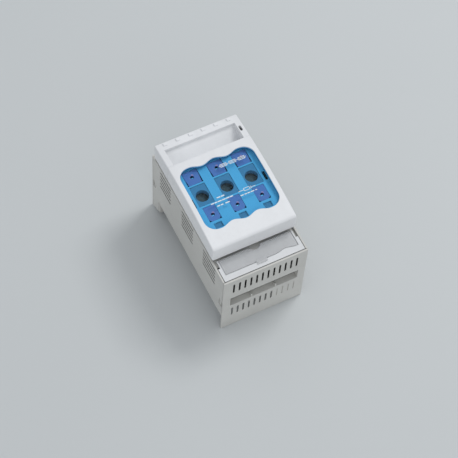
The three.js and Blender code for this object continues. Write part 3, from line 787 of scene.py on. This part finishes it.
def terminal_cover():
    """Flat cover with its label pocket, pry notch, corner notches and two lugs below."""
    cover = brick(-COVER_HIGH.x, COVER_HIGH.x, COVER_LOW.y, COVER_HIGH.y, 88.9, COVER_HIGH.z)
    unite(cover, mirrored(brick(35, 40, COVER_LOW.y + 0.5, COVER_LOW.y + 2.5, COVER_LOW.z, 89.4)))
    carve(
        cover,
        mirrored(brick(NOTCH_X, HALF, NOTCH_FAR, COVER_HIGH.y + 1, 87, COVER_HIGH.z + 1)),
        prism(label_outline(POCKET_GAP), "z", POCKET_FLOOR, COVER_HIGH.z + 1),
        rod("z", PRY_RADIUS, 87, COVER_HIGH.z + 1, PRY_CENTRE, 48),
    )
    round_edges(cover, 0.3, 3)
    return settle(cover, "terminal_cover_moulding", ["terminal_cover"])


def label_window():
    """Clear flap over the label, with a lifting tab at its near edge."""
    flap = prism(label_outline(0), "z", 90.5, 91.4)
    tab = brick(-6.2, 4.5, LABEL_LOW.y, LABEL_NEAR + 1.5, 91.8, LABEL_HIGH.z, 0.25)
    neck = brick(-5.9, 4.2, LABEL_NEAR + 0.4, LABEL_NEAR + 1.4, 91, LABEL_HIGH.z - 0.1)
    unite(flap, neck, tab)
    carve(flap, rod("z", PRY_RADIUS + 0.3, 90, 93, PRY_CENTRE, 48))
    round_edges(flap, 0.15, 2)
    return settle(flap, "label_window_flap", ["label_window"])


terminal_cover()
label_window()
soften("label_card", 0.08)


def carrier_ledge():
    """Pale ledge that shows behind the cover's far edge and in its corner notches."""
    half, low, top = 42.5, 88.1, 88.5
    ledge = brick(-half, half, -56.7, -49.6, low, top)
    left = brick(-half, -38, -58.7, -56.5, low, top)
    right = brick(38, half, -61.9, -56.5, low, top)
    unite(ledge, left, right)
    return settle(ledge, "carrier_ledge", [], slot="housing_grey", body=BODY_OF["contact_carrier"])


carrier_ledge()


# ---- end shrouds --------------------------------------------------------
VENTS = 12
OPEN_VENTS = 8  # of the lower row; the others are shallow
VENT_PITCH = 6.1
UPPER_VENT_LOW, UPPER_VENT_HIGH = 67.2, 83.7
LOWER_VENT_LOW, LOWER_VENT_HIGH = 21.4, 36
THIN_LOW, THIN_HIGH, THIN_WIDTH = 3.5, 1.0, 4.6  # relief behind a vent
BAND_LOW, BAND_HIGH, BAND_HALF = 42.3, 57.0, 36.4
SNAP_LOW, SNAP_HIGH = 41.5, 51.5


def vent_row(y0, y1, z0, z1, indices, width=2.0):
    """Cutters for a row of upright vents, of which indices says the places."""
    slot = prism(slot_outline(-width / 2, width / 2, z0, z1), "y", y0, y1)
    return copies(slot, [((i - (VENTS - 1) / 2) * VENT_PITCH, 0, 0) for i in indices])


def shroud_plate(end):
    """End wall with a snap arm and hook at each side; end is -1 for the near one."""
    inner = FAR - END_WALL

    def lengths(first, second):
        return sorted((end * first, end * second))

    plate = brick(-HALF, HALF, *lengths(FAR, inner), 0, RIM_TOP)
    round_edges(plate, 0.6, 3)
    low, high = SNAP_LOW + 1, SNAP_HIGH - 1
    arm = brick(INNER - 2, INNER - GAP, *lengths(inner + 0.5, inner - 8), low, high)
    unite(arm, brick(INNER - 1, HALF - 0.5, *lengths(inner - 2.2, inner - 5.6), low, high))
    return unite(plate, mirrored(arm))


def cable_shroud():
    """Near end wall: two rows of vents, and the cable band with its gussets between them."""
    front, wall_back = NEAR - 1, NEAR + END_WALL + 0.5
    back = NEAR + 6.2
    shroud = shroud_plate(-1)
    unite(shroud, brick(-BAND_HALF - 1.4, BAND_HALF + 1.4, NEAR + 1, back, BAND_LOW - 1.2, BAND_HIGH + 1.2))
    carve(
        shroud,
        brick(-BAND_HALF, BAND_HALF, front, back + 1, BAND_LOW, BAND_HIGH),
        vent_row(front, wall_back, UPPER_VENT_LOW, UPPER_VENT_HIGH, range(VENTS)),
        vent_row(NEAR + 0.6, wall_back, UPPER_VENT_LOW - THIN_LOW, UPPER_VENT_HIGH + THIN_HIGH,
                 range(VENTS), THIN_WIDTH),
        vent_row(front, wall_back, LOWER_VENT_LOW, LOWER_VENT_HIGH, range(OPEN_VENTS)),
        vent_row(NEAR + 0.6, wall_back, LOWER_VENT_LOW - THIN_LOW, LOWER_VENT_HIGH + THIN_HIGH,
                 range(OPEN_VENTS), THIN_WIDTH),
        vent_row(front, NEAR + 0.9, LOWER_VENT_LOW, LOWER_VENT_HIGH, range(OPEN_VENTS, VENTS), 1.2),
    )
    gusset = prism([(NEAR + 0.3, BAND_LOW - 0.5), (back, BAND_LOW - 0.5), (back, BAND_LOW + 1),
                    (NEAR + 0.3, BAND_LOW + 5.5)], "x", -0.7, 0.7)
    unite(shroud, copies(gusset, [(-13, 0, 0), (13, 0, 0)]))
    round_edges(shroud, 0.12, 2, 50)
    return settle(shroud, "cable_shroud_moulding", ["cable_shroud"])


def grip_end_shroud():
    """Far end wall with one row of vents, and the strip beyond the lid."""
    shroud = shroud_plate(1)
    unite(shroud, brick(-INNER + GAP, INNER - GAP, FAR - 8, FAR - 1, 89.4, RIM_TOP))
    carve(shroud, vent_row(FAR - END_WALL - 0.5, FAR + 1, 62, 80, range(VENTS)))
    round_edges(shroud, 0.25, 2, 50)
    return settle(shroud, "grip_end_shroud_moulding", ["grip_end_shroud"])


cable_shroud()
grip_end_shroud()
soften("cable_membrane", 0.3)


# ---- base ---------------------------------------------------------------
LOUVRE_GROUPS = ((-60.5, -34), (-12.5, 12.5), (37, 60.5))
LOUVRE_ROWS, LOUVRE_LOW, LOUVRE_PITCH, LOUVRE_GAP = 5, 61.5, 6.2, 2.0
LOUVRE_FALL = 3.0  # drop for each mm of depth
FLOOR_LOW, FLOOR_TOP = 27.0, 29.5
SKIRT = 25.0
FOOT_FRONT = 60.7
STEM = 3.5  # half of the opening that a busbar contact's stem passes


def base_frame():
    """Side walls with louvres, foot and far feet, joined by a floor with busbar openings."""
    near, far = BASE_LOW.y, BASE_HIGH.y
    outline = [(near, SKIRT), (FOOT_FRONT, SKIRT), (FOOT_FRONT, 9), (far, 0), (far, RIM_TOP), (70, RIM_TOP),
               (70, BASE_HIGH.z), (-41, BASE_HIGH.z), (-41, RIM_TOP), (near, RIM_TOP)]
    wall = prism(outline, "x", INNER, HALF)
    round_edges(wall, 0.35, 2)
    # Each louvre falls inward; its cutter reaches 1 mm past both faces of the wall.
    out_by, in_by = LOUVRE_FALL, -LOUVRE_FALL * (SIDE_WALL + 1)
    louvres = []
    for y0, y1 in LOUVRE_GROUPS:
        for index in range(LOUVRE_ROWS):
            low = LOUVRE_LOW + index * LOUVRE_PITCH
            top = low + LOUVRE_GAP
            slant = [(HALF + 1, low + out_by), (HALF + 1, top + out_by),
                     (INNER - 1, top + in_by), (INNER - 1, low + in_by)]
            louvres.append(prism(slant, "y", y0, y1))
    carve(
        wall,
        gather(louvres),
        brick(INNER - 1, HALF + 1, near - 1, near + 6, SNAP_LOW, SNAP_HIGH),
        brick(INNER - 1, HALF + 1, far - 6, far + 1, SNAP_LOW, SNAP_HIGH),
        brick(HALF - 0.8, HALF + 1, 62.6, 64, 5, SKIRT + 0.5),
    )
    floor = brick(-INNER - 0.5, INNER + 0.5, near + 3, far - 3, FLOOR_LOW, FLOOR_TOP)
    flange = brick(40.6, INNER + 0.5, FOOT_FRONT, FOOT_FRONT + 1.7, 9, FLOOR_TOP)
    base = unite(floor, mirrored(wall), mirrored(flange))
    for n in (1, 2, 3):
        centre = middle(f"busbar_contact_{n}")
        x, y = centre.x, centre.y + 1.2
        carve(base, brick(x - STEM, x + STEM, y - STEM, y + STEM, FLOOR_LOW - 1, FLOOR_TOP + 1))
    round_edges(base, 0.15, 2, 60)
    return settle(base, "base_frame_moulding", ["base_frame"])


base_frame()
soften("contact_carrier", 0.4)
for side in ("left", "right"):
    soften(f"hinge_arm_{side}", 0.3)
    pin_low, pin_high = span(f"hinge_pin_{side}")
    pin = rod("x", 1.5, pin_low.x, pin_high.x, (HINGE_Y, HINGE_Z))
    settle(round_edges(pin, 0.25, 2), f"hinge_pin_{side}_turned", [f"hinge_pin_{side}"])


# ---- current path, clamps and fuse-links --------------------------------
THREAD_PITCH, THREADS = 1.25, 9


def clamp_screw(n):
    """Hexagon-socket screw with a rounded head and a grooved shank."""
    node = f"clamp_screw_{n}"
    low, high = span(node)
    at = ((low.x + high.x) / 2, (low.y + high.y) / 2)
    head_low = high.z - 5
    head = round_edges(rod("z", 6.2, head_low, high.z, at, 48), 0.7, 3)
    shank = rod("z", 4, low.z, head_low + 0.5, at)
    unite(head, round_edges(shank, 0.5, 2))
    ring = carve(rod("z", 5, 0, 0.5, at), rod("z", 3.75, -1, 1.5, at))
    carve(head, copies(ring, [(0, 0, low.z + 1 + i * THREAD_PITCH) for i in range(THREADS)]))
    carve(head, rod("z", 2.9, high.z - 3.3, high.z + 1, at, 6))
    return settle(head, f"{node}_turned", [node])


def fuse_body(n):
    """Ceramic body of a fuse-link, with a shallow panel on each broad face and a label on top."""
    node = f"fuse_body_{n}"
    low, high = span(node)
    body = brick(low.x, high.x, low.y, high.y, low.z, high.z)
    round_edges(body, 1.6, 4)
    for x in (low.x, high.x):
        carve(body, brick(x - 0.5, x + 0.5, low.y + 6, high.y - 6, low.z + 8, high.z - 8))
    round_edges(body, 0.3, 2, 50)
    settle(body, f"{node}_ceramic", [node])
    label = brick(low.x + 2.5, high.x - 2.5, low.y + 3, high.y - 3, high.z - 0.1, high.z + 0.05)
    return settle(label, f"{node}_print", [], slot="fuse_print", body=BODY_OF[node])


for n in (1, 2, 3):
    clamp_screw(n)
    fuse_body(n)
    for node in (f"fuse_end_upper_{n}", f"fuse_end_lower_{n}", f"busbar_contact_{n}", f"clamp_cage_{n}"):
        soften(node, 0.4)
    for node in (f"upper_jaw_{n}", f"lower_jaw_{n}", f"upper_jaw_spring_{n}", f"lower_jaw_spring_{n}"):
        soften(node, 0.25)
    soften(f"arc_chute_{n}", 0.2)
soften("busbar_latch", 0.4)


# ---- stage, lights and camera -------------------------------------------
def floor_material():
    finish = Finish("floor_card", (0.61, 0.635, 0.64), 0.8)
    cloud = finish.noise(3, 2)
    finish.feed("Base Color", finish.blend((0.60, 0.625, 0.63), (0.62, 0.645, 0.65), cloud))
    return finish.material


def stage():
    deselect()
    bpy.ops.mesh.primitive_plane_add(size=6, location=(0, 0, -0.0002))
    floor = bpy.context.object
    floor.name = "floor"
    floor.data.materials.append(floor_material())


def area_light(name, place, size, power, colour=(1, 1, 1)):
    data = bpy.data.lights.new(name, "AREA")
    data.size = size
    data.energy = power
    data.color = colour
    lamp = bpy.data.objects.new(name, data)
    bpy.context.collection.objects.link(lamp)
    lamp.location = place
    lamp.rotation_euler = (Vector(place) - Vector((0, 0, 0.06))).to_track_quat("Z", "Y").to_euler()


def camera():
    """The product seen from its near left, from well above, and turned a little in the frame."""
    azimuth, elevation, roll = math.radians(-30.62), math.radians(60.17), math.radians(4.64)
    distance = 1.470
    target = Vector((-0.0042, -0.0121, 0.060))
    back = Vector((math.sin(azimuth) * math.cos(elevation), -math.cos(azimuth) * math.cos(elevation),
                   math.sin(elevation)))
    data = bpy.data.cameras.new("camera")
    data.lens = 118.63
    data.sensor_width = 36
    data.shift_x = -0.0011
    data.shift_y = 0.0013
    view = bpy.data.objects.new("camera", data)
    bpy.context.collection.objects.link(view)
    turn = back.to_track_quat("Z", "Y").to_matrix().to_4x4()
    view.matrix_world = Matrix.Translation(target + back * distance) @ turn @ Matrix.Rotation(roll, 4, "Z")
    bpy.context.scene.camera = view


stage()
area_light("key", (1.1, 0.3, 1.85), 0.7, 14.5)
area_light("fill", (-0.5, -2.0, 1.0), 1.6, 4.8, (1.0, 0.985, 0.96))
camera()
world = bpy.data.worlds.new("studio")
bpy.context.scene.world = world
world.use_nodes = True
world.node_tree.nodes["Background"].inputs["Color"].default_value = (0.93, 0.96, 1.0, 1)
world.node_tree.nodes["Background"].inputs["Strength"].default_value = 0.61
bpy.context.scene.view_settings.view_transform = "Standard"
